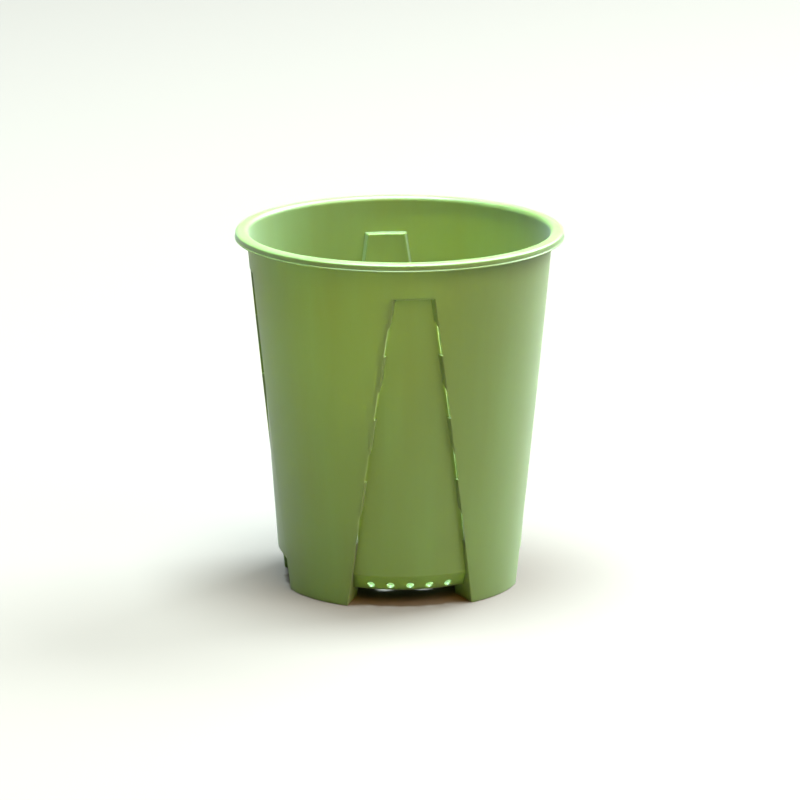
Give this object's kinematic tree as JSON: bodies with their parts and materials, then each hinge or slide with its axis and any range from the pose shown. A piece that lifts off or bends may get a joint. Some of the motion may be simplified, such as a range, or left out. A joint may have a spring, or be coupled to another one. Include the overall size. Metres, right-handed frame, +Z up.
{
  "type": "flower pot",
  "caption": "Tapered round plastic plant pot on moulded feet, with a rolled lip, recessed side panels edged with air slots, and drain holes.",
  "frame": {"origin": "centre of the pot on the ground that its feet stand on", "axes": "+Z up along the pot's axis; -Y faces the front, out through a wide panel; +X to the right, out through a narrow panel"},
  "size_m": [0.124, 0.124, 0.136],
  "materials": {
    "green_plastic": "satin moulded polypropylene, olive green"
  },
  "bodies": {
    "root": {"pot_body": "green_plastic"}
  },
  "joints": []
}
